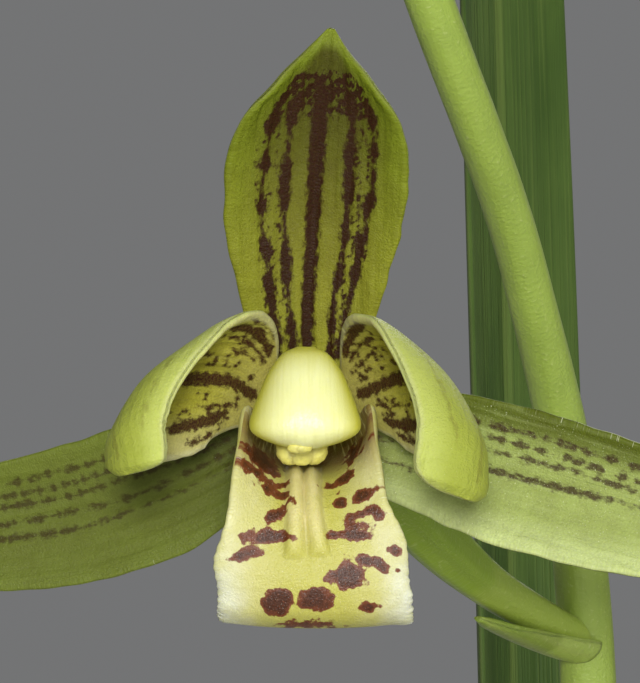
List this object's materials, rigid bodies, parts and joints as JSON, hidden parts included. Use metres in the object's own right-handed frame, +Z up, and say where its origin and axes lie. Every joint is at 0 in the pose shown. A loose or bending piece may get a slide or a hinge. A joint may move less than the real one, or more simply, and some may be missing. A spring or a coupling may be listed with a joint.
{
  "type": "potted orchid",
  "caption": "Potted cymbidium orchid: a clay pot of bark mix with bulbs, arching strap leaves and one stem of small striped green blooms with spotted lips.",
  "frame": {"origin": "middle of the pot's flat underside, on the surface it stands on", "axes": "+Z up, -Y to the front, where the open bloom faces, +X to the right seen from the front"},
  "size_m": [0.7107, 0.5068, 0.5953],
  "materials": {
    "terracotta": "matte",
    "bark_mix": "rough",
    "pseudobulb": "satin",
    "leaf": "satin",
    "stem": "satin",
    "tepal": "satin",
    "lip": "satin",
    "column": "satin",
    "anther_cap": "satin"
  },
  "bodies": {
    "root": {"pot": "terracotta", "potting_mix": "bark_mix", "flower_stem": "stem", "dorsal_sepal": "tepal", "lateral_sepal_right": "tepal", "lateral_sepal_left": "tepal", "petal_right": "tepal", "petal_left": "tepal", "lip": "lip", "column": "column", "anther_cap": "anther_cap", "leaf_right_1": "leaf", "leaf_right_2": "leaf", "leaf_right_3": "leaf", "leaf_right_4": "leaf", "leaf_left_1": "leaf", "leaf_left_2": "leaf", "leaf_left_3": "leaf", "leaf_left_4": "leaf", "leaf_back_1": "leaf", "leaf_back_2": "leaf", "leaf_front_1": "leaf", "leaf_front_2": "leaf", "leaf_front_3": "leaf", "leaf_old_1": "leaf", "leaf_old_2": "leaf", "bulb_right": "pseudobulb", "bulb_left": "pseudobulb", "bulb_back": "pseudobulb", "bulb_front": "pseudobulb", "bulb_old": "pseudobulb", "bloom_lowest": "tepal", "bloom_upper_right": "tepal", "bloom_upper_left": "tepal", "bloom_top": "tepal", "lip_lowest": "lip", "lip_upper_right": "lip", "lip_upper_left": "lip", "lip_top": "lip"}
  },
  "joints": []
}
